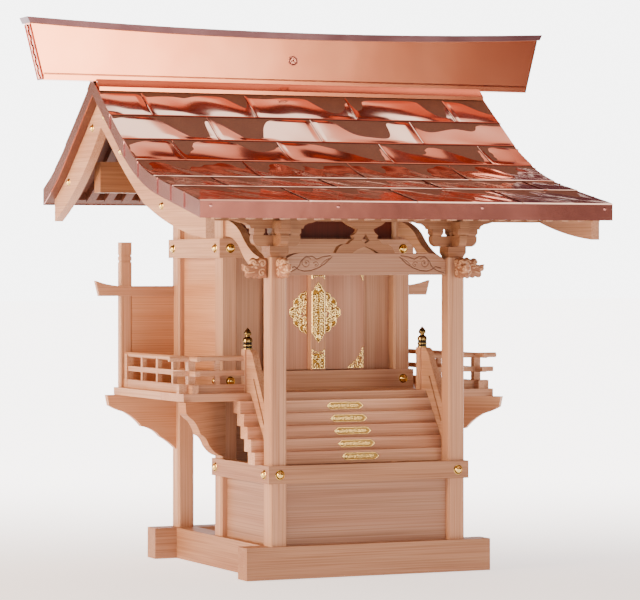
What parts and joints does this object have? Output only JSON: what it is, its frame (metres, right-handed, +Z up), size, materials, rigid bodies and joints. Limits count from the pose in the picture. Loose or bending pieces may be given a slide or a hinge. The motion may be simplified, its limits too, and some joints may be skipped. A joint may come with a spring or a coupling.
{
  "type": "miniature shinto shrine",
  "caption": "Cypress-wood miniature shrine with a copper-sheet flowing gable roof, porch, stair, railed veranda and a pair of hinged doors with gilt fittings.",
  "frame": {"origin": "middle of the footprint of the whole shrine, on the ground under the base sills", "axes": "+Z up, the doors face -Y, +X to the right of the front seen from behind the doors"},
  "size_m": [0.791, 0.5968, 0.749],
  "materials": {
    "cypress": "planed, unpainted",
    "cypress_shaded": "planed, reddish underside",
    "copper": "new bright copper sheet",
    "gilt_brass": "gilt, chased",
    "antique_brass": "darkened, polished"
  },
  "bodies": {
    "shrine": {"base_panels": "cypress", "bracket_arms": "cypress", "bracket_blocks": "cypress", "brass_domes": "gilt_brass", "cross_sills": "cypress", "eave_copper": "copper", "finials": "antique_brass", "frog_leg_strut": "cypress", "front_barge_boards": "cypress", "front_copper": "copper", "front_deck": "cypress_shaded", "front_railings": "cypress", "front_walls": "cypress", "gable_walls": "cypress", "hall_end_bands": "cypress", "hall_floor": "cypress", "hall_posts": "cypress", "hall_side_bands": "cypress", "lower_band_front": "cypress", "lower_band_sides": "cypress", "newels": "cypress", "nosings": "cypress", "porch_beam": "cypress", "porch_corbels": "cypress", "porch_posts": "cypress", "purlins": "cypress", "rafters": "cypress_shaded", "rear_barge_boards": "cypress", "rear_copper": "copper", "rear_deck": "cypress_shaded", "rear_walls": "cypress", "ridge_cap": "copper", "ridge_emblem": "copper", "ridge_flashing": "copper", "ridge_trunk": "copper", "riser_plates": "gilt_brass", "side_railings": "cypress", "side_sills": "cypress", "side_walls": "cypress", "stair_boards": "cypress", "step_1": "cypress", "step_2": "cypress", "step_3": "cypress", "step_4": "cypress", "step_5": "cypress", "tie_beams": "cypress", "veranda_brackets": "cypress", "veranda_front": "cypress", "veranda_sides": "cypress", "verge_copper": "copper", "wing_panels": "cypress", "wing_posts": "cypress", "wing_rails": "cypress"},
    "left_leaf": {"left_door": "cypress", "meeting_batten": "cypress", "left_fittings": "gilt_brass", "batten_fittings": "gilt_brass"},
    "right_leaf": {"right_door": "cypress", "right_fittings": "gilt_brass"}
  },
  "joints": [
    {"name": "left_door_hinge", "type": "hinge", "parent": "shrine", "child": "left_leaf", "pos_m": [-0.071, 0.013, 0.3453], "axis": [0, 0, -1], "range_deg": [0, 100]},
    {"name": "right_door_hinge", "type": "hinge", "parent": "shrine", "child": "right_leaf", "pos_m": [0.071, 0.013, 0.3453], "axis": [0, 0, 1], "range_deg": [0, 100]}
  ],
  "couplings": [
    {"joint": "right_door_hinge", "follows": "left_door_hinge", "ratio": 1}
  ]
}
